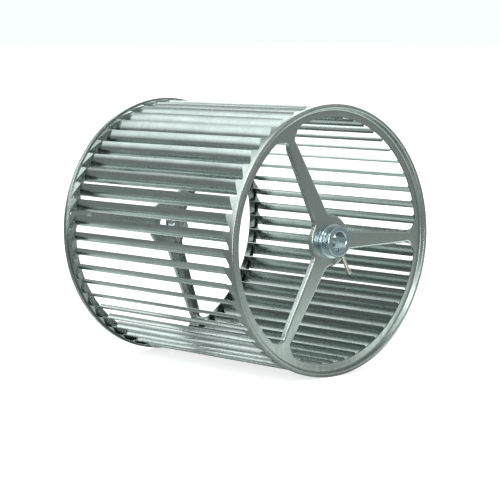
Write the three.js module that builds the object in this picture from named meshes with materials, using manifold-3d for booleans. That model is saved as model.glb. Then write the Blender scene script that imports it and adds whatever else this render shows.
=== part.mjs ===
// Double-inlet blower wheel: a drum of forward-curved blades between two stamped
// three-arm end discs, each carrying a bored hub with a radial square-head set screw.
// Millimetres, +Z up. The wheel's axis is Y, its centre is the origin and its front
// inlet faces -Y.
import * as THREE from 'three';
import { mergeVertices } from 'three/addons/utils/BufferGeometryUtils.js';
import Module from 'manifold-3d';

const wasm = await Module();
wasm.setup();

// ---- driving dimensions ----
const inch = 25.4;
const wheelDiameter = 12.625 * inch;
const wheelWidth = 12.25 * inch;
const bladeCount = 49;
const boreDiameter = 0.875 * inch;
const hubDiameter = 36.5;
const discSheet = 1.5;
const stripSheet = 0.8;
const gap = 0.3;
const frontArmAngle = 118.3;
const rearArmAngle = 9.5;
const firstBladeAngle = 3.4;

// ---- values worked out from them ----
const rimRadius = wheelDiameter / 2;
const halfWidth = wheelWidth / 2;
const boreRadius = boreDiameter / 2;
const hubRadius = hubDiameter / 2;
const bladePitch = (2 * Math.PI) / bladeCount;
const ringSegments = 2 * bladeCount;
const hubSegments = 36;

// Depths behind the rim's front edge.
const flangeDepth = 5.6;
const hemDepth = 6.4;
const bandEdgeDepth = 2.4;
const bandRootDepth = 8.5;
const bladeDiscGap = 0.6;
const bladeInnerDepth = flangeDepth + discSheet + bladeDiscGap;
const toothTipDepth = 19.2;
const lipDepth = 12.1;

// The rolled bead, its sloped shoulder and the step down to the flange, in section.
const beadBevel = 1.2;
const beadWidth = 3.6;
const shoulderWidth = 1.4;
const shoulderDrop = 1;
const stepLean = 1;

// Laps between the parts of the stamping, which are joined into one sheet.
const flangeLap = 2.6;
const plateLap = 1;

// Radii of the end disc.
const openingRadius = 0.907 * rimRadius;
const flangeRadius = rimRadius - 6.9;
const lipEndRadius = 136;
const bossRadius = 0.19 * rimRadius;
const spigotRadius = 15.1;

// Radii of the blade strip.
const bandOuterRadius = rimRadius - discSheet - gap;
const bandInnerRadius = bandOuterRadius - stripSheet;
const bladeTipRadius = bandInnerRadius - gap - stripSheet / 2;
const bladeHeelRadius = 0.892 * rimRadius;
const bladeSweep = THREE.MathUtils.degToRad(4.83);
const bladeCamber = 3.2;
const toothShare = 0.8;
const toothLap = 1;

// Arms of the end disc.
const armRootHalfWidth = 12.85;
const armTaper = THREE.MathUtils.degToRad(2.48);
const rimFilletRadius = 15;
const bossFilletRadius = 12;
const armTurn = (2 * Math.PI) / 3;

// Hub, heights measured outward from the rim's front edge.
const hubFace = 9;
const hubSeat = -(flangeDepth - gap);
const shoulderRadius = 20.5;
const shoulderTop = -0.9;
const shoulderBevel = 0.6;
const frontChamfer = 0.8;
const boreChamfer = 1.2;
const backChamfer = 1;
const stakedCollarWidth = 2;
const stakedCollarHeight = 1.5;
const hubBack = -(flangeDepth + discSheet + gap + stakedCollarHeight);

// Set screw.
const screwHeight = 3.8;
const screwDiameter = 4.8;
const screwTipRadius = boreRadius + 1.5;
const screwShankEnd = 39;
const screwHeadSize = 5.6;
const screwHeadLength = 5.4;
const screwHeadLap = 1;
const screwPointBevel = 0.9;

// How finely the curves are drawn.
const bossFilletSteps = 5;
const rimFilletSteps = 6;
const rimArcSteps = 22;
const bossArcSteps = 8;
const bladeSteps = 6;
const screwSegments = 16;

// ---- materials ----
function galvanisedSteel(lightness) {
  const colour = new THREE.Color().setHSL(0.45, 0.05, lightness);
  return new THREE.MeshStandardMaterial({ color: colour, roughness: 0.38, metalness: 1 });
}

function zincPlatedSteel() {
  return new THREE.MeshStandardMaterial({ color: 0xa9c0c8, roughness: 0.22, metalness: 1 });
}

function yellowZincSteel() {
  return new THREE.MeshStandardMaterial({ color: 0xb9b393, roughness: 0.35, metalness: 1 });
}

// ---- solids: join and cut ----
function toSolid(geometry) {
  const bare = geometry.clone();
  bare.deleteAttribute('normal');
  bare.deleteAttribute('uv');
  const merged = mergeVertices(bare, 1e-4);
  const vertProperties = new Float32Array(merged.attributes.position.array);
  const triVerts = new Uint32Array(merged.index.array);
  return new wasm.Manifold(new wasm.Mesh({ numProp: 3, vertProperties, triVerts }));
}

function toGeometry(solid) {
  const mesh = solid.getMesh();
  const geometry = new THREE.BufferGeometry();
  const positions = new Float32Array(mesh.vertProperties);
  const indices = new Uint32Array(mesh.triVerts);
  geometry.setAttribute('position', new THREE.BufferAttribute(positions, 3));
  geometry.setIndex(new THREE.BufferAttribute(indices, 1));
  geometry.computeVertexNormals();
  return geometry;
}

// A ring turned about Z from a closed [radius, height] outline, listed anticlockwise.
function turnedRing(outline, segments) {
  const profile = outline.map(([radius, height]) => new THREE.Vector2(radius, height));
  profile.push(profile[0].clone());
  return new THREE.LatheGeometry(profile, segments).rotateX(Math.PI / 2);
}

// A plate or wall of a flat outline, from one height to another.
function raised(shape, bottom, top, curveSegments = 12) {
  const settings = { depth: top - bottom, bevelEnabled: false, curveSegments };
  return new THREE.ExtrudeGeometry(shape, settings).translate(0, 0, bottom);
}

function circlePath(radius) {
  return new THREE.Path().absarc(0, 0, radius, 0, 2 * Math.PI, false);
}

// ---- end disc ----
const origin = new THREE.Vector2();

// The outline of one window between two arms, grown on all sides by an amount. Each arm
// edge is a straight tapered line; fillets join it to the round boss and to the rim.
function windowPoints(armAngle, grow) {
  const edgeOffset = armRootHalfWidth * Math.cos(armTaper);
  const rimCentre = filletCentre(openingRadius - rimFilletRadius, edgeOffset + rimFilletRadius);
  const bossCentre = filletCentre(bossRadius + bossFilletRadius, edgeOffset + bossFilletRadius);
  const rimFillet = rimFilletRadius + grow;
  const bossFillet = bossFilletRadius + grow;
  const rimStart = rimCentre.angle();
  const bossStart = bossCentre.angle();
  const edgeTurn = -Math.PI / 2 - armTaper;
  const side = [
    ...arcPoints(bossCentre, bossFillet, bossStart + Math.PI, edgeTurn + 2 * Math.PI, bossFilletSteps),
    ...arcPoints(rimCentre, rimFillet, edgeTurn, rimStart, rimFilletSteps),
  ];
  const farSide = side.map((point) => mirrored(point, armTurn / 2)).reverse();
  const rimArc = arcPoints(origin, openingRadius + grow, rimStart, armTurn - rimStart, rimArcSteps);
  const bossArc = arcPoints(origin, bossRadius - grow, armTurn - bossStart, bossStart, bossArcSteps);
  const outline = [...side, ...rimArc.slice(1, -1), ...farSide, ...bossArc.slice(1, -1)];
  return outline.map((point) => point.rotateAround(origin, armAngle));
}

// The centre of a fillet at one distance from the axis and another from the arm's middle line.
function filletCentre(fromAxis, fromLine) {
  const along = Math.sqrt(fromAxis ** 2 - fromLine ** 2);
  return new THREE.Vector2(along, fromLine).rotateAround(origin, -armTaper);
}

function arcPoints(centre, radius, start, end, steps) {
  const points = [];
  for (let step = 0; step <= steps; step += 1) {
    const angle = start + ((end - start) * step) / steps;
    points.push(new THREE.Vector2(radius * Math.cos(angle), radius * Math.sin(angle)).add(centre));
  }
  return points;
}

// The point's mirror image in the line through the axis at an angle.
function mirrored(point, angle) {
  const turn = 2 * angle - 2 * point.angle();
  return point.clone().rotateAround(origin, turn);
}

function armAngles() {
  return [0, 1, 2].map((arm) => arm * armTurn);
}

// The rolled bead, the hem outside it, the step down and the flange behind it.
function rimRing() {
  const shoulderRadius = rimRadius - beadWidth - shoulderWidth;
  return turnedRing([
    [rimRadius - discSheet, -hemDepth],
    [rimRadius, -hemDepth],
    [rimRadius, -beadBevel],
    [rimRadius - beadBevel, 0],
    [rimRadius - beadWidth, 0],
    [shoulderRadius, -shoulderDrop],
    [flangeRadius, -flangeDepth],
    [openingRadius + flangeLap, -flangeDepth],
    [openingRadius + flangeLap, -flangeDepth - discSheet],
    [flangeRadius + stepLean, -flangeDepth - discSheet],
    [rimRadius - beadWidth, -discSheet],
    [rimRadius - discSheet, -discSheet],
  ], ringSegments);
}

// The flat plate with its three windows and the hole that the hub is staked through.
function armPlate() {
  const plateRadius = openingRadius + flangeLap + plateLap;
  const plate = new THREE.Shape().absarc(0, 0, plateRadius, 0, 2 * Math.PI, false);
  for (const angle of armAngles()) {
    plate.holes.push(new THREE.Path(windowPoints(angle, 0)));
  }
  plate.holes.push(circlePath(spigotRadius + gap));
  return raised(plate, -flangeDepth - discSheet, -flangeDepth, hubSegments);
}

// The stiffening lip turned back round each window, ending short of the rim.
function windowLips() {
  const bottom = -lipDepth;
  const top = -flangeDepth - discSheet / 2;
  const height = 4 * lipDepth;
  const cylinder = new THREE.CylinderGeometry(lipEndRadius, lipEndRadius, height, ringSegments);
  const reach = toSolid(cylinder.rotateX(Math.PI / 2));
  const lips = armAngles().map((angle) => {
    const wall = new THREE.Shape(windowPoints(angle, discSheet));
    wall.holes.push(new THREE.Path(windowPoints(angle, 0)));
    return toSolid(raised(wall, bottom, top));
  });
  return lips.map((lip) => lip.intersect(reach));
}

function endDiscGeometry() {
  let disc = toSolid(rimRing()).add(toSolid(armPlate()));
  for (const lip of windowLips()) {
    disc = disc.add(lip);
  }
  return toGeometry(disc);
}

// ---- hub ----
function hubGeometry() {
  const collarRadius = spigotRadius + stakedCollarWidth;
  const barrel = toSolid(turnedRing([
    [boreRadius + backChamfer, hubBack],
    [collarRadius, hubBack],
    [collarRadius, hubBack + stakedCollarHeight],
    [spigotRadius, hubBack + stakedCollarHeight],
    [spigotRadius, hubSeat],
    [shoulderRadius, hubSeat],
    [shoulderRadius, shoulderTop - shoulderBevel],
    [shoulderRadius - shoulderBevel, shoulderTop],
    [hubRadius, shoulderTop],
    [hubRadius, hubFace - frontChamfer],
    [hubRadius - frontChamfer, hubFace],
    [boreRadius + boreChamfer, hubFace],
    [boreRadius, hubFace - boreChamfer],
    [boreRadius, hubBack + backChamfer],
  ], hubSegments));
  const holeRadius = screwDiameter / 2 + gap;
  const holeLength = 1.6 * hubRadius;
  const hole = new THREE.CylinderGeometry(holeRadius, holeRadius, holeLength, screwSegments);
  hole.rotateZ(Math.PI / 2).translate(hubRadius, 0, screwHeight);
  return toGeometry(barrel.subtract(toSolid(hole)));
}

// ---- set screw ----
// Drawn along X from its tip by the bore to its square head.
function setScrewGeometry() {
  const radius = screwDiameter / 2;
  const shankTop = screwShankEnd + screwHeadLap;
  const shank = new THREE.LatheGeometry([
    new THREE.Vector2(0, screwTipRadius),
    new THREE.Vector2(radius - screwPointBevel, screwTipRadius),
    new THREE.Vector2(radius, screwTipRadius + screwPointBevel),
    new THREE.Vector2(radius, shankTop),
    new THREE.Vector2(0, shankTop),
  ], screwSegments);
  const head = new THREE.BoxGeometry(screwHeadSize, screwHeadLength, screwHeadSize);
  head.translate(0, screwShankEnd + screwHeadLength / 2, 0);
  const screw = toSolid(shank).add(toSolid(head));
  return toGeometry(screw).rotateZ(-Math.PI / 2).translate(0, 0, screwHeight);
}

// ---- blade strip ----
// One blade's curved section with its outer edge on X, run along Z. Its ends slope from
// the outer edge in towards the end disc at the inner edge.
function bladeGeometry() {
  const tip = new THREE.Vector2(bladeTipRadius, 0);
  const heel = new THREE.Vector2(bladeHeelRadius, 0).rotateAround(origin, bladeSweep);
  const chord = heel.clone().sub(tip);
  const chordLength = chord.length();
  const camberRadius = chordLength ** 2 / (8 * bladeCamber) + bladeCamber / 2;
  const middle = tip.clone().add(heel).multiplyScalar(0.5);
  const normal = new THREE.Vector2(-chord.y, chord.x).divideScalar(chordLength);
  const centre = middle.addScaledVector(normal, camberRadius - bladeCamber);
  const start = tip.clone().sub(centre).angle();
  const end = heel.clone().sub(centre).angle();
  const outerCurve = arcPoints(centre, camberRadius + stripSheet / 2, start, end, bladeSteps);
  const innerCurve = arcPoints(centre, camberRadius - stripSheet / 2, end, start, bladeSteps);
  const halfLength = halfWidth - bladeInnerDepth;
  const slope = toothTipDepth - bladeInnerDepth;
  const section = new THREE.Shape([...outerCurve, ...innerCurve]);
  const geometry = raised(section, -halfLength, halfLength);
  const position = geometry.attributes.position;
  for (let index = 0; index < position.count; index += 1) {
    const offset = new THREE.Vector2(position.getX(index), position.getY(index)).sub(tip);
    const share = offset.dot(chord) / chordLength ** 2;
    const sloped = halfLength - slope * (1 - share);
    position.setZ(index, Math.sign(position.getZ(index)) * sloped);
  }
  geometry.computeVertexNormals();
  return geometry;
}

// The uncut edge of the strip, rolled to a hoop, with one flat tooth at each blade's root.
// Outward is 1 for the front band and -1 for the rear one, which is its mirror image.
function stripBandGeometry(outward) {
  const root = -outward * bandRootDepth;
  const edge = -outward * bandEdgeDepth;
  let band = toSolid(turnedRing([
    [bandInnerRadius, Math.min(root, edge)],
    [bandOuterRadius, Math.min(root, edge)],
    [bandOuterRadius, Math.max(root, edge)],
    [bandInnerRadius, Math.max(root, edge)],
  ], ringSegments));
  const halfTooth = (toothShare * bladePitch) / 2;
  const reach = bandInnerRadius * Math.tan(halfTooth);
  const foot = root + outward * toothLap;
  const tooth = new THREE.Shape();
  tooth.moveTo(-reach, -outward * toothTipDepth);
  tooth.lineTo(reach, foot);
  tooth.lineTo(-reach, foot);
  tooth.closePath();
  const upright = new THREE.Matrix4().makeBasis(
    new THREE.Vector3(0, 1, 0), new THREE.Vector3(0, 0, 1), new THREE.Vector3(1, 0, 0));
  for (let index = 0; index < bladeCount; index += 1) {
    const plate = raised(tooth, bandInnerRadius, bandOuterRadius).applyMatrix4(upright);
    band = band.add(toSolid(plate.rotateZ(index * bladePitch + halfTooth)));
  }
  return toGeometry(band);
}

// ---- assembly ----
const wheel = new THREE.Group();
wheel.rotation.x = Math.PI / 2;

function addPiece(parent, name, geometry, material) {
  const mesh = new THREE.Mesh(geometry, material);
  mesh.name = name;
  parent.add(mesh);
  return mesh;
}

// One end of the wheel, drawn as seen from outside with its rim's edge at height zero.
function addEnd(end, name, armAngle) {
  const disc = addPiece(end, `${name}_end_disc`, endDiscGeometry(), galvanisedSteel(0.62));
  disc.rotation.z = armAngle;
  const screwAngle = armAngle + Math.PI;
  const hub = addPiece(end, `${name}_hub`, hubGeometry(), zincPlatedSteel());
  hub.rotation.z = screwAngle;
  const screw = addPiece(end, `${name}_set_screw`, setScrewGeometry(), yellowZincSteel());
  screw.rotation.z = screwAngle;
  wheel.add(end);
}

const frontEnd = new THREE.Group();
frontEnd.position.z = halfWidth;
addEnd(frontEnd, 'front', THREE.MathUtils.degToRad(frontArmAngle));

const rearEnd = new THREE.Group();
rearEnd.position.z = -halfWidth;
rearEnd.rotation.y = Math.PI;
addEnd(rearEnd, 'rear', THREE.MathUtils.degToRad(rearArmAngle));

const strip = new THREE.Group();
strip.rotation.z = THREE.MathUtils.degToRad(firstBladeAngle);
for (const [name, outward] of [['front', 1], ['rear', -1]]) {
  const band = addPiece(strip, `${name}_strip_band`, stripBandGeometry(outward), galvanisedSteel(0.72));
  band.position.z = outward * halfWidth;
}
for (let index = 0; index < bladeCount; index += 1) {
  const name = `blade_${String(index + 1).padStart(2, '0')}`;
  const blade = addPiece(strip, name, bladeGeometry(), galvanisedSteel(0.66));
  blade.rotation.z = index * bladePitch;
}
wheel.add(strip);

const part = new THREE.Group();
part.add(wheel);

export default part;
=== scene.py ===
import math
import bmesh
import bpy
from mathutils import Matrix, Vector
from mathutils.geometry import delaunay_2d_cdt


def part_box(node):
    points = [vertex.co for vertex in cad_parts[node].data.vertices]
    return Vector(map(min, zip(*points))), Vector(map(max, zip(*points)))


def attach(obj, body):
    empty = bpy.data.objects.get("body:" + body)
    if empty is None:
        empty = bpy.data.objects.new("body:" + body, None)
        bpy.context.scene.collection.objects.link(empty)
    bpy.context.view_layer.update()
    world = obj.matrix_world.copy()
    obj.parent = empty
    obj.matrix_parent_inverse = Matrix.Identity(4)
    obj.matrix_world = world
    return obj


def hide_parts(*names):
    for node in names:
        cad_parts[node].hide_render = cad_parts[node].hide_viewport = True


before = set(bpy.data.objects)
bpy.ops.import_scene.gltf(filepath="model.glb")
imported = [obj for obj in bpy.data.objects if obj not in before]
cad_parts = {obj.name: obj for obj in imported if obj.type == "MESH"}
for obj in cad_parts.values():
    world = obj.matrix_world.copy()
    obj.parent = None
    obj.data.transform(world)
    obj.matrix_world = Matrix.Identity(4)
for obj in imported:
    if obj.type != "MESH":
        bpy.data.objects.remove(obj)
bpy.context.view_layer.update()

# Camera: in front of the wheel and to its left, a little above the shaft. The long lens
# keeps the far end of the drum nearly as large as the near one.
mm = 0.001
front_disc_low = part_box("front_end_disc")[0]
disc_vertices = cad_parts["front_end_disc"].data.vertices
wheel_radius = max(math.hypot(vertex.co.x, vertex.co.z) for vertex in disc_vertices)
half_width = -front_disc_low.y
view_azimuth = math.radians(-42.4752)
view_elevation = math.radians(6.2057)
view_distance = 15.1527 * wheel_radius
aim_right = 0.0409 * wheel_radius
aim_down = 0.1404 * wheel_radius
view_right = Vector((math.cos(view_azimuth), math.sin(view_azimuth), 0))
view_back = Vector((
    math.sin(view_azimuth) * math.cos(view_elevation),
    -math.cos(view_azimuth) * math.cos(view_elevation),
    math.sin(view_elevation),
))
view_up = view_back.cross(view_right)
aim = aim_right * view_right - aim_down * view_up
camera = bpy.data.objects.new("camera", bpy.data.cameras.new("camera"))
camera.data.sensor_width = 36
camera.data.lens = 142.7
camera.matrix_world = Matrix.Translation(aim + view_distance * view_back) @ (
    Matrix((view_right, view_up, view_back)).transposed().to_4x4())
bpy.context.scene.collection.objects.link(camera)
bpy.context.scene.camera = camera

# Blade strip: one long strip of galvanised sheet, lanced crosswise so that every blade
# stays joined at both ends, then rolled into a hoop. Its two uncut edges are the bands,
# with a rounded tooth left standing at the root of each blade.
blade_count = 49
blade_pitch = 2 * math.pi / blade_count
first_blade = math.radians(3.4)
strip_sheet = 0.8 * mm
band_radius = wheel_radius - 2.2 * mm
band_edge_depth = 2.4 * mm
band_root_depth = 8.5 * mm
band_crease = 1 * mm
tooth_apex_depth = 20.4 * mm
tooth_rounding = 2.2 * mm
tooth_share = 0.84
root_share = 0.93
tooth_tip_steps = 5
tooth_fold_steps = 6
weld_distance = 0.001 * mm
blade_outer_radius = wheel_radius - 3.3 * mm
blade_inner_radius = 0.892 * wheel_radius
blade_sweep = math.radians(4.83)
blade_camber = 3.2 * mm
blade_root_depth = 19.2 * mm
blade_inner_depth = 7.9 * mm
blade_steps = 12
blade_rings = (-0.6, -0.2, 0.2, 0.6)
fold_start_depth = tooth_apex_depth - 1.2 * mm
gusset_shares = (0, 0.4, 0.8)
gusset_crease = 1.2 * mm
crease_angle = math.radians(32)


def linear(hex_colour):
    """The linear colour of an sRGB hex value such as "9aa3a0"."""
    channels = []
    for start in (0, 2, 4):
        value = int(hex_colour[start:start + 2], 16) / 255
        low = value <= 0.04045
        channels.append(value / 12.92 if low else ((value + 0.055) / 1.055) ** 2.4)
    return (*channels, 1)


def add_node(tree, kind, inputs, **settings):
    """Adds a node with its settings, and sets or links each of the inputs named."""
    node = tree.nodes.new(kind)
    for name, value in settings.items():
        setattr(node, name, value)
    for name, value in inputs.items():
        if isinstance(value, bpy.types.NodeSocket):
            tree.links.new(value, node.inputs[name])
        else:
            node.inputs[name].default_value = value
    return node


def galvanised_sheet(name, dull, bright, spangle, rough, streak_scale):
    """Zinc-coated sheet, skin-passed to a satin: faint frost-like spangles, soft streaks
    along the sheet and a slow waviness that bends reflections. The streaks stand for
    rolling lines, which are really a tenth of a millimetre wide and too fine to show."""
    cloud_size = 28 * mm
    wave_size = 45 * mm
    material = bpy.data.materials.new(name)
    material.use_nodes = True
    tree = material.node_tree
    tree.nodes.clear()
    place = add_node(tree, "ShaderNodeTexCoord", {}).outputs["Object"]
    crystals = add_node(
        tree, "ShaderNodeTexVoronoi",
        {"Vector": place, "Scale": 1 / spangle, "Randomness": 0.9})
    clouds = add_node(
        tree, "ShaderNodeTexNoise",
        {"Vector": place, "Scale": 1 / cloud_size, "Detail": 4, "Roughness": 0.6})
    stretched = add_node(
        tree, "ShaderNodeMapping", {"Vector": place, "Scale": streak_scale})
    rolling = add_node(
        tree, "ShaderNodeTexNoise",
        {"Vector": stretched.outputs["Vector"], "Scale": 1, "Detail": 1, "Roughness": 0.5})
    crystal_tone = add_node(
        tree, "ShaderNodeSeparateColor", {"Color": crystals.outputs["Color"]})
    tone = add_node(
        tree, "ShaderNodeMix",
        {"Factor": 0.85, "A": crystal_tone.outputs["Red"], "B": clouds.outputs["Fac"]},
        data_type="FLOAT")
    streaked = add_node(
        tree, "ShaderNodeMix",
        {"Factor": 0.5, "A": tone.outputs["Result"], "B": rolling.outputs["Fac"]},
        data_type="FLOAT")
    colour = add_node(
        tree, "ShaderNodeMix",
        {"Factor": streaked.outputs["Result"], 6: linear(dull), 7: linear(bright)},
        data_type="RGBA")
    gloss = add_node(
        tree, "ShaderNodeMapRange",
        {"Value": streaked.outputs["Result"], "From Min": 0.25, "From Max": 0.75,
         "To Min": rough + 0.07, "To Max": rough - 0.05})
    wave = add_node(
        tree, "ShaderNodeTexNoise",
        {"Vector": place, "Scale": 1 / wave_size, "Detail": 2, "Roughness": 0.4})
    waviness = add_node(
        tree, "ShaderNodeBump",
        {"Height": wave.outputs["Fac"], "Strength": 0.3, "Distance": 1.6 * mm})
    relief = add_node(
        tree, "ShaderNodeBump",
        {"Height": clouds.outputs["Fac"], "Strength": 0.1, "Distance": 0.25 * mm,
         "Normal": waviness.outputs["Normal"]})
    lines = add_node(
        tree, "ShaderNodeBump",
        {"Height": rolling.outputs["Fac"], "Strength": 0.12, "Distance": 0.05 * mm,
         "Normal": relief.outputs["Normal"]})
    surface = add_node(
        tree, "ShaderNodeBsdfPrincipled",
        {"Base Color": colour.outputs[2], "Metallic": 1,
         "Roughness": gloss.outputs["Result"], "Normal": lines.outputs["Normal"]})
    add_node(tree, "ShaderNodeOutputMaterial", {"Surface": surface.outputs["BSDF"]})
    return material


def on_wheel(radius, angle, y):
    """A point on the wheel: the angle runs anticlockwise as seen from the front."""
    return Vector((radius * math.cos(angle), y, radius * math.sin(angle)))


def grid_faces(shell, rows, closed=False):
    """Joins neighbouring rows of vertices with four-sided faces. Closed rows are rings."""
    for row, next_row in zip(rows, rows[1:]):
        last = len(row) if closed else len(row) - 1
        for column in range(last):
            after = (column + 1) % len(row)
            shell.faces.new((row[column], row[after], next_row[after], next_row[column]))


def thicken(shell, above, below):
    """Makes a solid sheet of an open surface: so far above it and so far below."""
    shell.normal_update()
    faces = list(shell.faces)
    edges = [edge for edge in shell.edges if len(edge.link_faces) == 1]
    under = {}
    for vertex in list(shell.verts):
        under[vertex] = shell.verts.new(vertex.co - below * vertex.normal)
        vertex.co += above * vertex.normal
    for edge in edges:
        loop = edge.link_loops[0]
        start, end = loop.vert, loop.link_loop_next.vert
        shell.faces.new((end, start, under[start], under[end]))
    for face in faces:
        shell.faces.new([under[vertex] for vertex in reversed(face.verts)])


def add_piece(name, shell, material, body, slot, *nodes, crease=crease_angle):
    """A finished piece of a bmesh: shaded smooth between its creases, riding on its
    body and standing for the nodes of the frame that it replaces."""
    bmesh.ops.recalc_face_normals(shell, faces=shell.faces)
    mesh = bpy.data.meshes.new(name)
    shell.to_mesh(mesh)
    shell.free()
    mesh.polygons.foreach_set("use_smooth", [True] * len(mesh.polygons))
    mesh.set_sharp_from_angle(angle=crease)
    mesh.materials.append(material)
    piece = bpy.data.objects.new(name, mesh)
    bpy.context.scene.collection.objects.link(piece)
    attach(piece, body)
    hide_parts(*nodes)
    return piece


def tooth_outline():
    """Depths of a band's inner edge over one pitch, as (arc length, depth) pairs: up the
    lanced side, round the tip and down the fold to the root."""
    base = tooth_share * blade_pitch * band_radius
    slope = (tooth_apex_depth - band_root_depth) / base
    lean = math.hypot(1, slope)
    centre = tooth_apex_depth - tooth_rounding * (slope + lean)
    outline = [(0, band_root_depth), (0, centre)]
    last_angle = math.atan2(1, slope)
    for step in range(1, tooth_tip_steps + 1):
        angle = math.pi + (last_angle - math.pi) * step / tooth_tip_steps
        along = tooth_rounding * (1 + math.cos(angle))
        outline.append((along, centre + tooth_rounding * math.sin(angle)))
    tip_along, tip_depth = outline[-1]
    for step in range(1, tooth_fold_steps + 1):
        share = step / tooth_fold_steps
        along = tip_along + (base - tip_along) * share
        outline.append((along, tip_depth + (band_root_depth - tip_depth) * share))
    outline.append((blade_pitch * band_radius * root_share, band_root_depth))
    return outline


def strip_band(outward):
    """The hoop with its teeth. Outward is -1 for the front end and 1 for the rear one."""
    shell = bmesh.new()
    columns = []
    for index in range(blade_count):
        for along, depth in tooth_outline():
            angle = first_blade + index * blade_pitch + along / band_radius
            column = []
            for level in (band_edge_depth, band_root_depth - band_crease, band_root_depth, depth):
                point = on_wheel(band_radius, angle, outward * (half_width - level))
                column.append(shell.verts.new(point))
            columns.append(column)
    columns.append(columns[0])
    grid_faces(shell, columns)
    bmesh.ops.remove_doubles(shell, verts=shell.verts, dist=weld_distance)
    bmesh.ops.recalc_face_normals(shell, faces=shell.faces)
    thicken(shell, strip_sheet / 2, strip_sheet / 2)
    return shell


def blade_section():
    """The blade's curve from its outer edge to its inner one, as (radius, angle) pairs:
    an arc that leaves the rim almost along it and turns in towards the shaft."""
    tip = Vector((blade_outer_radius, 0))
    heel = Vector((math.cos(blade_sweep), math.sin(blade_sweep))) * blade_inner_radius
    chord = heel - tip
    arc_radius = chord.length ** 2 / (8 * blade_camber) + blade_camber / 2
    normal = Vector((-chord.y, chord.x)).normalized()
    centre = (tip + heel) / 2 + (arc_radius - blade_camber) * normal
    start = math.atan2(tip.y - centre.y, tip.x - centre.x)
    end = math.atan2(heel.y - centre.y, heel.x - centre.x)
    section = []
    for step in range(blade_steps + 1):
        angle = start + (end - start) * step / blade_steps
        point = centre + arc_radius * Vector((math.cos(angle), math.sin(angle)))
        section.append((point.length, math.atan2(point.y, point.x)))
    return section


def blade(index):
    """One blade, with the gusset at each end that joins its slanting end to the tooth."""
    turn = Matrix.Rotation(-(first_blade + index * blade_pitch), 3, "Y")
    fold_end = tooth_share * blade_pitch
    shell = bmesh.new()
    columns = []
    for step, (radius, angle) in enumerate(blade_section()):
        share = step / blade_steps
        end_depth = blade_root_depth + (blade_inner_depth - blade_root_depth) * share
        fold_depth = fold_start_depth + (band_root_depth - fold_start_depth) * share
        ends = []
        for outward in (-1, 1):
            fold = on_wheel(band_radius, fold_end * share, outward * (half_width - fold_depth))
            end = on_wheel(radius, angle, outward * (half_width - end_depth))
            crease = on_wheel(radius, angle, outward * (half_width - end_depth - gusset_crease))
            ends.append([fold.lerp(end, part) for part in gusset_shares] + [end, crease])
        middle = [on_wheel(radius, angle, half_width * part) for part in blade_rings]
        line = ends[0] + middle + ends[1][::-1]
        columns.append([shell.verts.new(turn @ point) for point in line])
    grid_faces(shell, columns)
    thicken(shell, strip_sheet / 2, strip_sheet / 2)
    return shell


# Galvanised strip, skin-passed: a cool satin grey, a little brighter than the discs, with
# spangles of 6 mm. Streaks along the blades keep their long reflections from looking ruled.
strip_zinc = galvanised_sheet(
    "galvanised strip, satin", dull="98a3a0", bright="cfd7d4", spangle=6 * mm, rough=0.24,
    streak_scale=(1 / (4 * mm), 1 / (110 * mm), 1 / (4 * mm)))
for name, outward in (("front", -1), ("rear", 1)):
    add_piece(
        f"{name}_band", strip_band(outward), strip_zinc, "wheel", "blade_strip",
        f"{name}_strip_band")
for index in range(blade_count):
    add_piece(
        f"fan_blade_{index + 1:02d}", blade(index), strip_zinc, "wheel", "blade_strip",
        f"blade_{index + 1:02d}")

# End discs: two equal stampings in 1.5 mm galvanised steel. The rim is rolled over the
# strip's edge into a bead, the windows are turned back all round to stiffen the three
# arms, and the middle is pierced for the hub.
disc_sheet = 1.5 * mm
opening_radius = 0.907 * wheel_radius
hem_depth = 6.4 * mm
bead_width = 4.6 * mm
bead_outer_bend = 2.1 * mm
bead_inner_bend = 1.9 * mm
flange_bend = 1.6 * mm
flange_radius = wheel_radius - 6.8 * mm
flange_depth = 5.6 * mm
plate_radius = opening_radius + 4.5 * mm
rim_segments = 196
lip_bend = 2.8 * mm
lip_bend_steps = 6
lip_straight = 3.7 * mm
lip_least = 0.6 * mm
lip_margin = 0.1 * mm
lip_fade_start = 126 * mm
lip_fade_end = 143 * mm
boss_radius = 0.19 * wheel_radius
hub_hole_radius = 15.3 * mm
hub_hole_edge = 1 * mm
hub_hole_segments = 72
arm_half_width = 12.85 * mm
arm_taper = math.radians(2.48)
arm_steps = 14
rim_fillet = 15 * mm
rim_fillet_steps = 14
rim_steps = 48
boss_fillet = 12 * mm
boss_fillet_steps = 8
boss_steps = 16
arm_turn = 2 * math.pi / 3
front_arm = math.radians(118.3)
rear_arm = math.radians(9.5)


def arc(centre, radius, start, end, steps):
    """Points of an arc, with the direction from its centre at each."""
    made = []
    for step in range(steps + 1):
        angle = start + (end - start) * step / steps
        direction = Vector((math.cos(angle), math.sin(angle)))
        made.append((centre + radius * direction, direction))
    return made


def rounded(corners, steps=5):
    """A polyline of (x, y, fillet radius) corners with its corners rounded."""
    path = []
    for index, (x, y, radius) in enumerate(corners):
        corner = Vector((x, y))
        if radius == 0 or index in (0, len(corners) - 1):
            path.append(corner)
            continue
        before = (Vector(corners[index - 1][:2]) - corner).normalized()
        after = (Vector(corners[index + 1][:2]) - corner).normalized()
        half = before.angle(after) / 2
        reach = radius / math.tan(half)
        centre = corner + (before + after).normalized() * radius / math.sin(half)
        start = corner + before * reach - centre
        turn = math.pi - 2 * half
        if before.x * after.y - before.y * after.x > 0:
            turn = -turn
        for step in range(steps + 1):
            path.append(centre + Matrix.Rotation(turn * step / steps, 2) @ start)
    return path


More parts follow.
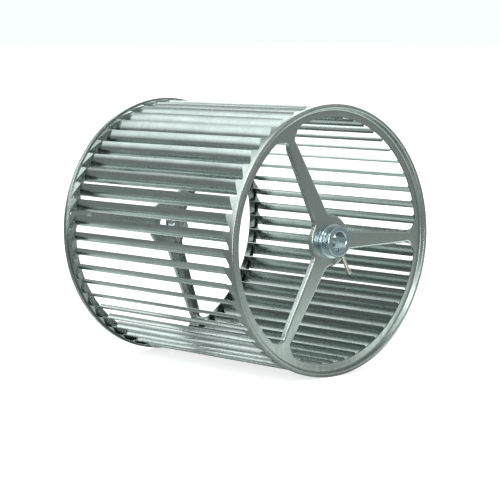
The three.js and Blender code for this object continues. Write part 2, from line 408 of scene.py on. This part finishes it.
def window(turned):
    """One window's outline, as points and the directions out of the window: straight
    tapered arm edges, with fillets to the round boss and to the rim."""
    edge = arm_half_width * math.cos(arm_taper)
    along = math.sqrt((opening_radius - rim_fillet) ** 2 - (edge + rim_fillet) ** 2)
    rim_centre = Matrix.Rotation(-arm_taper, 2) @ Vector((along, edge + rim_fillet))
    along = math.sqrt((boss_radius + boss_fillet) ** 2 - (edge + boss_fillet) ** 2)
    boss_centre = Matrix.Rotation(-arm_taper, 2) @ Vector((along, edge + boss_fillet))
    rim_start = math.atan2(rim_centre.y, rim_centre.x)
    boss_start = math.atan2(boss_centre.y, boss_centre.x)
    edge_turn = -math.pi / 2 - arm_taper
    near = arc(boss_centre, boss_fillet, boss_start - math.pi, edge_turn, boss_fillet_steps)
    far = arc(rim_centre, rim_fillet, edge_turn, rim_start, rim_fillet_steps)
    last, first = near[-1], far[0]
    straight = []
    for step in range(1, arm_steps):
        straight.append((last[0].lerp(first[0], step / arm_steps), first[1]))
    side = near + straight + far
    mirror = Matrix.Rotation(arm_turn, 2) @ Matrix(((1, 0), (0, -1)))
    other = [(mirror @ point, mirror @ direction) for point, direction in reversed(side)]
    origin = Vector((0, 0))
    rim = arc(origin, opening_radius, rim_start, arm_turn - rim_start, rim_steps)[1:-1]
    boss = arc(origin, boss_radius, arm_turn - boss_start, boss_start, boss_steps)[1:-1]
    boss = [(point, -direction) for point, direction in boss]
    spin = Matrix.Rotation(turned, 2)
    return [(spin @ point, spin @ direction) for point, direction in side + rim + other + boss]


def lip_rows(outline):
    """Rows of (u, v, depth) from the flat plate round the bend to the lip's free edge.
    Near the rim the lip dies out and leaves the plain edge of the opening."""
    rows = [[] for _ in range(lip_bend_steps + 3)]
    for point, direction in outline:
        fade = (lip_fade_end - point.length) / (lip_fade_end - lip_fade_start)
        fade = min(1, max(0, fade))
        fade = fade * fade * (3 - 2 * fade)
        bend = math.pi / 2 * fade
        straight = lip_least + (lip_straight - lip_least) * fade
        reach = lip_bend * math.sin(bend) + straight * math.cos(bend)
        profile = [(reach + lip_margin, 0)]
        for step in range(lip_bend_steps + 1):
            turn = bend * step / lip_bend_steps
            profile.append((reach - lip_bend * math.sin(turn), lip_bend * (1 - math.cos(turn))))
        bend_depth = lip_bend * (1 - math.cos(bend))
        profile.append((0, bend_depth + straight * math.sin(bend)))
        for row, (offset, depth) in zip(rows, profile):
            at = point + offset * direction
            row.append((at.x, at.y, flange_depth + depth))
    return rows


def turned_rows(path, segments):
    """Rows of (u, v, depth) of a path of (radius, depth) points turned round the shaft."""
    angles = [2 * math.pi * step / segments for step in range(segments)]
    circle = [(math.cos(angle), math.sin(angle)) for angle in angles]
    return [[(radius * u, radius * v, depth) for u, v in circle] for radius, depth in path]


def end_vertices(shell, rows, side):
    """Puts rows of (u, v, depth) at an end of the wheel. Side is -1 for the front, and 1
    for the rear, where the same shape is turned round to face the other way."""
    made = []
    for row in rows:
        points = [(side * -u, side * (half_width - depth), v) for u, v, depth in row]
        made.append([shell.verts.new(point) for point in points])
    return made


def inside(point, loop):
    """Whether a flat point lies inside a closed loop of flat points."""
    crossings = 0
    for start, end in zip(loop, loop[1:] + loop[:1]):
        if (start.y > point.y) != (end.y > point.y):
            share = (point.y - start.y) / (end.y - start.y)
            crossings += start.x + share * (end.x - start.x) > point.x
    return crossings % 2 == 1


def fill_plate(shell, loops):
    """Fills the flat plate between an outer loop of vertices and the holes in it."""
    tolerance = 1e-9
    vertices = [vertex for loop in loops for vertex in loop]
    outer, *holes = [[Vector((vertex.co.x, vertex.co.z)) for vertex in loop] for loop in loops]
    flat = [point for loop in (outer, *holes) for point in loop]
    edges = []
    first = 0
    for loop in loops:
        edges += [(first + i, first + (i + 1) % len(loop)) for i in range(len(loop))]
        first += len(loop)
    triangles = delaunay_2d_cdt(flat, edges, [], 0, tolerance)[2]
    for triangle in triangles:
        middle = sum((flat[i] for i in triangle), Vector((0, 0))) / 3
        if inside(middle, outer) and not any(inside(middle, hole) for hole in holes):
            shell.faces.new([vertices[i] for i in triangle])


def end_disc(arm_angle, side):
    """The whole stamping as one sheet. Side is -1 for the front and 1 for the rear."""
    rim = rounded([
        (wheel_radius, hem_depth, 0),
        (wheel_radius, 0, bead_outer_bend),
        (wheel_radius - bead_width, 0, bead_inner_bend),
        (flange_radius, flange_depth, flange_bend),
        (plate_radius, flange_depth, 0),
    ])
    hole = [(hub_hole_radius + hub_hole_edge, flange_depth), (hub_hole_radius, flange_depth)]
    windows = [window(arm_angle + arm * arm_turn) for arm in range(3)]
    shell = bmesh.new()
    rim_rows = end_vertices(shell, turned_rows(rim, rim_segments), side)
    hole_rows = end_vertices(shell, turned_rows(hole, hub_hole_segments), side)
    lips = [end_vertices(shell, lip_rows(outline), side) for outline in windows]
    for rows in (rim_rows, hole_rows, *lips):
        grid_faces(shell, rows, closed=True)
    fill_plate(shell, [rim_rows[-1], hole_rows[0]] + [rows[0] for rows in lips])
    bmesh.ops.recalc_face_normals(shell, faces=shell.faces)
    flat = max(shell.faces, key=lambda face: abs(face.normal.y) * face.calc_area())
    if flat.normal.y * side < 0:
        bmesh.ops.reverse_faces(shell, faces=shell.faces)
    thicken(shell, 0, disc_sheet)
    return shell


# Galvanised pressing, skin-passed: a flatter, slightly darker satin grey than the strip,
# with spangles of 9 mm that only just show on the arms. Its streaks run up and down.
disc_zinc = galvanised_sheet(
    "galvanised pressing, satin", dull="9ba49f", bright="c9d0cb", spangle=9 * mm, rough=0.25,
    streak_scale=(1 / (5 * mm), 1 / (5 * mm), 1 / (45 * mm)))
add_piece(
    "front_disc", end_disc(front_arm, -1), disc_zinc, "wheel", "end_disc", "front_end_disc")
add_piece(
    "rear_disc", end_disc(rear_arm, 1), disc_zinc, "wheel", "end_disc", "rear_end_disc")

# Hubs: turned from steel bar with a shoulder that seats on the disc, bored for a 7/8 inch
# shaft and staked over behind the disc, then zinc plated. A hole for the set screw is
# tapped through the wall opposite one of the disc's arms.
inch = 25.4 * mm
hub_radius = 18.25 * mm
shoulder_radius = 20.5 * mm
spigot_radius = 15.1 * mm
bore_radius = 0.875 * inch / 2
hub_face = -9 * mm
face_chamfer = 0.8 * mm
bore_chamfer = 1.2 * mm
shoulder_top = 0.9 * mm
hub_seat = 5.5 * mm
hub_back = 8.9 * mm
back_chamfer = 1 * mm
collar_width = 2 * mm
collar_height = 1.5 * mm
undercut = 0.5 * mm
undercut_height = 1.2 * mm
hub_segments = 96
screw_height = -3.8 * mm
screw_radius = 2.4 * mm
screw_clearance = 0.25 * mm
drill_depth = 22 * mm
drill_start = hub_radius - 3 * mm
drill_segments = 40


def zinc_plate(name, low, high, rough, mark_pitch):
    """Plated machined steel: a thin bright coat over fine tool marks, which are drawn
    coarser than the real tenth of a millimetre so that they show."""
    mark_length = 9 * mm
    cloud_size = 7 * mm
    material = bpy.data.materials.new(name)
    material.use_nodes = True
    tree = material.node_tree
    tree.nodes.clear()
    place = add_node(tree, "ShaderNodeTexCoord", {}).outputs["Object"]
    rings = add_node(
        tree, "ShaderNodeMapping",
        {"Vector": place, "Scale": (1 / mark_length, 1 / mark_pitch, 1 / mark_length)})
    marks = add_node(
        tree, "ShaderNodeTexNoise",
        {"Vector": rings.outputs["Vector"], "Scale": 1, "Detail": 2, "Roughness": 0.5})
    cloud = add_node(
        tree, "ShaderNodeTexNoise",
        {"Vector": place, "Scale": 1 / cloud_size, "Detail": 5, "Roughness": 0.65})
    tone = add_node(
        tree, "ShaderNodeMix",
        {"Factor": 0.45, "A": cloud.outputs["Fac"], "B": marks.outputs["Fac"]},
        data_type="FLOAT")
    colour = add_node(
        tree, "ShaderNodeMix",
        {"Factor": tone.outputs["Result"], 6: linear(low), 7: linear(high)},
        data_type="RGBA")
    gloss = add_node(
        tree, "ShaderNodeMapRange",
        {"Value": tone.outputs["Result"], "From Min": 0.3, "From Max": 0.7,
         "To Min": rough + 0.06, "To Max": rough - 0.04})
    relief = add_node(
        tree, "ShaderNodeBump",
        {"Height": marks.outputs["Fac"], "Strength": 0.25, "Distance": 0.05 * mm})
    surface = add_node(
        tree, "ShaderNodeBsdfPrincipled",
        {"Base Color": colour.outputs[2], "Metallic": 1,
         "Roughness": gloss.outputs["Result"], "Normal": relief.outputs["Normal"]})
    add_node(tree, "ShaderNodeOutputMaterial", {"Surface": surface.outputs["BSDF"]})
    return material


def hub(side):
    """The turned barrel: bore, staked collar, shoulder, undercut and front face."""
    collar_radius = spigot_radius + collar_width
    collar_front = hub_back - collar_height
    neck_radius = hub_radius - undercut
    neck_front = shoulder_top - undercut_height
    tapping_edge = screw_radius + 0.5 * mm
    path = rounded([
        (bore_radius, hub_back - back_chamfer, 0),
        (bore_radius + back_chamfer, hub_back, 0.2 * mm),
        (collar_radius, hub_back, 0.5 * mm),
        (collar_radius, collar_front, 0.4 * mm),
        (spigot_radius, collar_front, 0),
        (spigot_radius, hub_seat, 0),
        (shoulder_radius, hub_seat, 0.3 * mm),
        (shoulder_radius, shoulder_top, 0.9 * mm),
        (neck_radius, shoulder_top, 0.3 * mm),
        (neck_radius, neck_front, 0.2 * mm),
        (hub_radius, neck_front - undercut, 0.3 * mm),
        (hub_radius, hub_face + face_chamfer, 0.4 * mm),
        (hub_radius - face_chamfer, hub_face, 0.3 * mm),
        (bore_radius + bore_chamfer, hub_face, 0.3 * mm),
        (bore_radius, hub_face + bore_chamfer, 0.3 * mm),
        (bore_radius, screw_height - tapping_edge, 0),
        (bore_radius, screw_height + tapping_edge, 0),
        (bore_radius, hub_back - back_chamfer, 0),
    ], steps=3)
    shell = bmesh.new()
    rows = end_vertices(shell, turned_rows(path, hub_segments), side)
    rows.append(rows[0])
    grid_faces(shell, rows, closed=True)
    return shell


def drill(piece, screw_angle, side):
    """Cuts the set screw's hole through one side of a hub."""
    outward = on_wheel(1, screw_angle, 0)
    axis = outward.to_track_quat("Z", "Y").to_matrix().to_4x4()
    cutter_shell = bmesh.new()
    bmesh.ops.create_cone(
        cutter_shell, cap_ends=True, segments=drill_segments,
        radius1=screw_radius + screw_clearance, radius2=screw_radius + screw_clearance,
        depth=drill_depth)
    centre = outward * drill_start + Vector((0, side * (half_width - screw_height), 0))
    cutter_shell.transform(Matrix.Translation(centre) @ axis)
    cutter_mesh = bpy.data.meshes.new("tapping_drill")
    cutter_shell.to_mesh(cutter_mesh)
    cutter_shell.free()
    cutter = bpy.data.objects.new("tapping_drill", cutter_mesh)
    bpy.context.scene.collection.objects.link(cutter)
    cut = piece.modifiers.new("tapped_hole", "BOOLEAN")
    cut.object = cutter
    cut.operation = "DIFFERENCE"
    cut.solver = "MANIFOLD"
    bpy.context.view_layer.update()
    cooked = piece.evaluated_get(bpy.context.evaluated_depsgraph_get())
    drilled = bpy.data.meshes.new_from_object(cooked)
    piece.modifiers.clear()
    piece.data = drilled
    piece.data.set_sharp_from_angle(angle=crease_angle)
    bpy.data.objects.remove(cutter)


# Bright zinc with a blue passivation, over turned steel: a clear cold blue-white, glossier
# than the sheet, with the lathe's rings showing as fine bands round the barrel.
hub_zinc = zinc_plate(
    "blue zinc plate, turned", low="a4bdc7", high="dbe7ea", rough=0.16, mark_pitch=0.35 * mm)
screw_turns = {"front": front_arm + math.pi, "rear": math.pi - (rear_arm + math.pi)}
for name, side in (("front", -1), ("rear", 1)):
    piece = add_piece(
        f"{name}_hub_barrel", hub(side), hub_zinc, "wheel", "hub", f"{name}_hub")
    drill(piece, screw_turns[name], side)

# Set screws: square-headed, with a rolled 24 per inch thread, zinc plated. One stands out
# of each hub, and its cup point would bear on the shaft.
screw_point = bore_radius + 1.5 * mm
point_bevel = 0.9 * mm
screw_shank_end = 39 * mm
shank_neck = 0.6 * mm
screw_head = 5.6 * mm
screw_head_length = 5.4 * mm
head_corner = 0.5 * mm
thread_pitch = inch / 24
thread_depth = 0.32 * mm
steps_per_thread = 8
screw_segments = 32
screw_crease = math.radians(40)


def square_reach(angle, half, corner):
    """How far a square with rounded corners reaches at an angle."""
    turned = (angle + math.pi / 4) % (math.pi / 2) - math.pi / 4
    flat = half / math.cos(turned)
    return min(flat, half * math.sqrt(2) - corner)


def set_screw(screw_angle, side):
    """The screw drawn along its own length: point, helical thread, neck and head."""
    thread_start = screw_point + point_bevel
    thread_length = screw_shank_end - shank_neck - thread_start
    head_end = screw_shank_end + screw_head_length
    whole_square = screw_head
    stations = [
        (screw_point, screw_radius - 1.3 * mm, "plain"),
        (screw_point + 0.1 * mm, screw_radius - 0.9 * mm, "plain"),
    ]
    steps = int((screw_shank_end - screw_point) / thread_pitch * steps_per_thread)
    for step in range(steps + 1):
        stations.append((thread_start + thread_length * step / steps, screw_radius, "thread"))
    stations += [
        (screw_shank_end, screw_radius - 0.1 * mm, "plain"),
        (screw_shank_end, screw_radius + 0.1 * mm, "head"),
        (screw_shank_end + 0.05 * mm, 0.49 * screw_head, "head"),
        (screw_shank_end + 0.35 * mm, whole_square, "head"),
        (head_end - 1.1 * mm, whole_square, "head"),
        (head_end - 0.55 * mm, 0.6 * screw_head, "head"),
        (head_end - 0.05 * mm, 0.47 * screw_head, "head"),
        (head_end, 0.44 * screw_head, "head"),
    ]
    outward = on_wheel(1, screw_angle, 0)
    sideways = on_wheel(1, screw_angle + math.pi / 2, 0)
    base = Vector((0, side * (half_width - screw_height), 0))
    shell = bmesh.new()
    rows = []
    for along, reach, kind in stations:
        row = []
        for step in range(screw_segments):
            angle = 2 * math.pi * step / screw_segments
            radius = reach
            if kind == "thread":
                phase = (along / thread_pitch + step / screw_segments) % 1
                radius = reach - thread_depth * abs(2 * phase - 1)
            if kind == "head":
                radius = min(reach, square_reach(angle, screw_head / 2, head_corner))
            across = math.cos(angle) * sideways + math.sin(angle) * Vector((0, 1, 0))
            row.append(shell.verts.new(base + along * outward + radius * across))
        rows.append(row)
    grid_faces(shell, rows, closed=True)
    shell.faces.new(rows[0])
    shell.faces.new(rows[-1])
    return shell


# Zinc with a yellow passivation, over rolled steel: a pale straw tint, duller than the
# hub, that tells the screw from the metal round it.
screw_zinc = zinc_plate(
    "yellow zinc plate, rolled", low="bcb8a3", high="e9e6da", rough=0.24, mark_pitch=1.2 * mm)
for name, side in (("front", -1), ("rear", 1)):
    add_piece(
        f"{name}_screw", set_screw(screw_turns[name], side), screw_zinc, f"{name}_screw",
        "set_screw", f"{name}_set_screw", crease=screw_crease)

# Floor: white background paper that the rim stands on. The camera sees it evenly white.
# What it throws back onto the metal is a weaker glow painted onto the paper. There is a painted
# shadow under the wheel, where the glow is least, and a painted pool of light to the wheel's
# right, where it is most.
floor_half_size = 60
floor_gap = 0.1 * mm
paper_mottle = 300 * mm
paper_glow_seen = 0.66
# Where the painted shadow under the wheel and the painted pool of light lie on the paper, and how
# strong each is.
painted_shadow_centre = (0.09, 0, -wheel_radius)
painted_shadow_reach = (0.13, 0.36)
painted_shadow_tones = (0.12, 1)
painted_pool_centre = (0.5, 0, -wheel_radius)
painted_pool_reach = (0.35, 0.85)
painted_pool_tones = (1.8, 0.34)


def distance_tone(tree, place, centre, reach, tones):
    """A tone that eases from the first to the second as the distance grows."""
    away = add_node(tree, "ShaderNodeVectorMath", {0: place, 1: centre}, operation="DISTANCE")
    eased = add_node(
        tree, "ShaderNodeMapRange",
        {"Value": away.outputs["Value"], "From Min": reach[0], "From Max": reach[1],
         "To Min": tones[0], "To Max": tones[1]},
        interpolation_type="SMOOTHSTEP")
    return eased.outputs["Result"]


floor_shell = bmesh.new()
bmesh.ops.create_grid(floor_shell, x_segments=1, y_segments=1, size=floor_half_size)
bmesh.ops.translate(
    floor_shell, verts=floor_shell.verts, vec=(0, 0, -wheel_radius - floor_gap))
floor_mesh = bpy.data.meshes.new("floor")
floor_shell.to_mesh(floor_mesh)
floor_shell.free()
floor = bpy.data.objects.new("floor", floor_mesh)
bpy.context.scene.collection.objects.link(floor)
paper = bpy.data.materials.new("white background paper")
paper.use_nodes = True
paper_tree = paper.node_tree
paper_tree.nodes.clear()
paper_grain = add_node(
    paper_tree, "ShaderNodeTexNoise", {"Scale": 1 / paper_mottle, "Detail": 2})
paper_tone = add_node(
    paper_tree, "ShaderNodeMix",
    {"Factor": paper_grain.outputs["Fac"], 6: linear("e9e9e7"), 7: linear("efefed")},
    data_type="RGBA")
paper_matt = add_node(
    paper_tree, "ShaderNodeBsdfPrincipled",
    {"Base Color": paper_tone.outputs[2], "Roughness": 0.9,
     "Emission Color": linear("ffffff"), "Emission Strength": paper_glow_seen})
paper_place = add_node(paper_tree, "ShaderNodeTexCoord", {}).outputs["Object"]
# The painted shadow times the painted pool of light: the glow that the metal sees in the paper,
# painted by position rather than cast by a lamp.
paper_glow = add_node(
    paper_tree, "ShaderNodeMath",
    {0: distance_tone(paper_tree, paper_place, painted_shadow_centre, painted_shadow_reach, painted_shadow_tones),
     1: distance_tone(paper_tree, paper_place, painted_pool_centre, painted_pool_reach, painted_pool_tones)},
    operation="MULTIPLY")
# The paper's painted glow: light and shade painted as emission, which only reflections and
# bounced light see.
painted_floor_light = add_node(
    paper_tree, "ShaderNodeEmission",
    {"Color": linear("e6f0ee"), "Strength": paper_glow.outputs["Value"]})
paper_seen = add_node(paper_tree, "ShaderNodeLightPath", {})
paper_mix = add_node(
    paper_tree, "ShaderNodeMixShader",
    {"Fac": paper_seen.outputs["Is Camera Ray"], 1: painted_floor_light.outputs["Emission"],
     2: paper_matt.outputs["BSDF"]})
add_node(paper_tree, "ShaderNodeOutputMaterial", {"Surface": paper_mix.outputs["Shader"]})
floor_mesh.materials.append(paper)

# Light tent: white cloth all round, which the camera sees evenly white. It lights the
# metal most from above on the left and from behind on the right, more from the front
# right than from the back left, and two softboxes on the left fill in the front disc.
tent_side = (0.67, -0.73, 0.1)
side_reach = (-1, 1)
side_tones = (0.06, 0.58)
tent_behind = (0.66, 0.73, 0.2)
behind_reach = (0.78, 0.95)
behind_tones = (0, 1.8)
tent_above = (-0.6, 0.35, 0.72)
above_reach = (0.64, 0.93)
above_tones = (0, 1.9)
tent_glow_seen = 1.05


def direction_tone(tree, direction, toward, reach, tones, ease):
    """A tone that goes from the first to the second as a direction nears another."""
    near = add_node(
        tree, "ShaderNodeVectorMath", {0: direction, 1: toward}, operation="DOT_PRODUCT")
    tone = add_node(
        tree, "ShaderNodeMapRange",
        {"Value": near.outputs["Value"], "From Min": reach[0], "From Max": reach[1],
         "To Min": tones[0], "To Max": tones[1]},
        interpolation_type=ease)
    return tone.outputs["Result"]


def softbox(name, place, width, length, power):
    """A rectangular softbox that looks at the middle of the wheel."""
    lamp = bpy.data.lights.new(name, "AREA")
    lamp.shape = "RECTANGLE"
    lamp.size = width
    lamp.size_y = length
    lamp.energy = power
    holder = bpy.data.objects.new(name, lamp)
    toward = -Vector(place)
    holder.matrix_world = Matrix.Translation(place) @ (
        toward.to_track_quat("-Z", "Y").to_matrix().to_4x4())
    bpy.context.scene.collection.objects.link(holder)


tent = bpy.data.worlds.new("light tent")
tent.use_nodes = True
tent_tree = tent.node_tree
tent_tree.nodes.clear()
tent_direction = add_node(tent_tree, "ShaderNodeTexCoord", {}).outputs["Generated"]
tent_bright = add_node(
    tent_tree, "ShaderNodeMath",
    {0: direction_tone(
        tent_tree, tent_direction, tent_behind, behind_reach, behind_tones, "SMOOTHSTEP"),
     1: direction_tone(
        tent_tree, tent_direction, tent_above, above_reach, above_tones, "SMOOTHSTEP")},
    operation="ADD")
tent_light = add_node(
    tent_tree, "ShaderNodeMath",
    {0: direction_tone(
        tent_tree, tent_direction, tent_side, side_reach, side_tones, "LINEAR"),
     1: tent_bright.outputs["Value"]},
    operation="ADD")
tent_seen = add_node(tent_tree, "ShaderNodeLightPath", {})
tent_strength = add_node(
    tent_tree, "ShaderNodeMix",
    {"Factor": tent_seen.outputs["Is Camera Ray"], "A": tent_light.outputs["Value"],
     "B": tent_glow_seen},
    data_type="FLOAT")
tent_glow = add_node(
    tent_tree, "ShaderNodeBackground",
    {"Color": linear("f4fbfa"), "Strength": tent_strength.outputs["Result"]})
add_node(tent_tree, "ShaderNodeOutputWorld", {"Surface": tent_glow.outputs["Background"]})
bpy.context.scene.world = tent
bpy.context.scene.view_settings.view_transform = "Standard"
softbox("left_softbox", place=(-1.3, -1.0, 1.5), width=0.8, length=0.5, power=9)
softbox("low_left_softbox", place=(-1.5, -1.3, 0.35), width=0.6, length=1.0, power=9)
